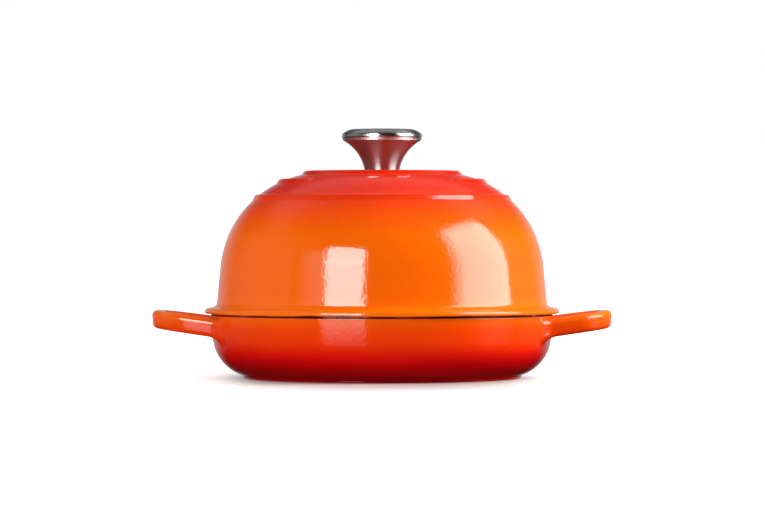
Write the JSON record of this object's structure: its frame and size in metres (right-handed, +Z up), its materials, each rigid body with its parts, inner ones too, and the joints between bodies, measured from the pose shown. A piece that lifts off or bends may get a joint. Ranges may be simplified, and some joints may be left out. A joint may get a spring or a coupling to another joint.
{
  "type": "bread cloche",
  "caption": "Round enamelled cast-iron bread oven: a shallow ridged dish with loop handles and a domed lid with stepped rings and a flared steel knob.",
  "frame": {"origin": "centre of the foot ring's underside, on the surface that the dish stands on", "axes": "+X through both loop handles, +Z up through the knob, -Y towards the front, where the middle ring on the lid is interrupted"},
  "size_m": [0.34, 0.2624, 0.1842],
  "materials": {
    "dish_enamel": "gloss enamel",
    "lid_enamel": "gloss enamel",
    "knob_skirt_steel": "polished",
    "knob_cap_steel": "polished",
    "insert_steel": "machined",
    "screw_steel": "satin",
    "washer_steel": "satin"
  },
  "bodies": {
    "dish": {"dish": "dish_enamel"},
    "lid": {"lid": "lid_enamel", "knob_skirt": "knob_skirt_steel", "knob_cap": "knob_cap_steel", "knob_insert": "insert_steel", "knob_screw": "screw_steel", "screw_washer": "washer_steel"}
  },
  "joints": [
    {"name": "lid_lift", "type": "slide", "parent": "dish", "child": "lid", "axis": [0, 0, 1], "range_m": [0, 0.2]}
  ]
}
